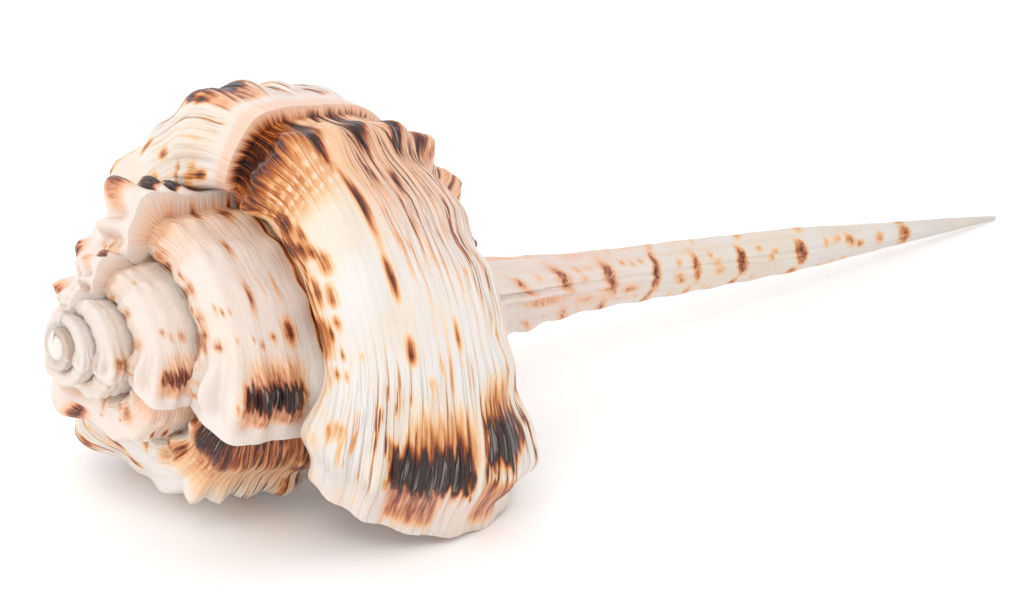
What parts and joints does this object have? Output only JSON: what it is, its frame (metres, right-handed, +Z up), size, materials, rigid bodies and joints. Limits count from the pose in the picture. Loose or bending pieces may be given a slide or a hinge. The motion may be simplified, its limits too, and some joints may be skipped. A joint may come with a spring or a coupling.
{
  "type": "murex shell",
  "caption": "Sea snail shell with a rounded whorled body, low spire, knobby ridges, an open mouth and a long straight tail canal.",
  "frame": {"origin": "centre of the bounding box in plan, on the surface the shell lies on", "axes": "+Z up with the shell lying mouth down as it comes to rest; +X towards the end of the long canal, -X towards the spire tip"},
  "size_m": [0.109, 0.0434, 0.0367],
  "materials": {
    "shell": "natural shell with a soft porcelain gloss"
  },
  "bodies": {
    "root": {"murex_shell": "shell"}
  },
  "joints": []
}
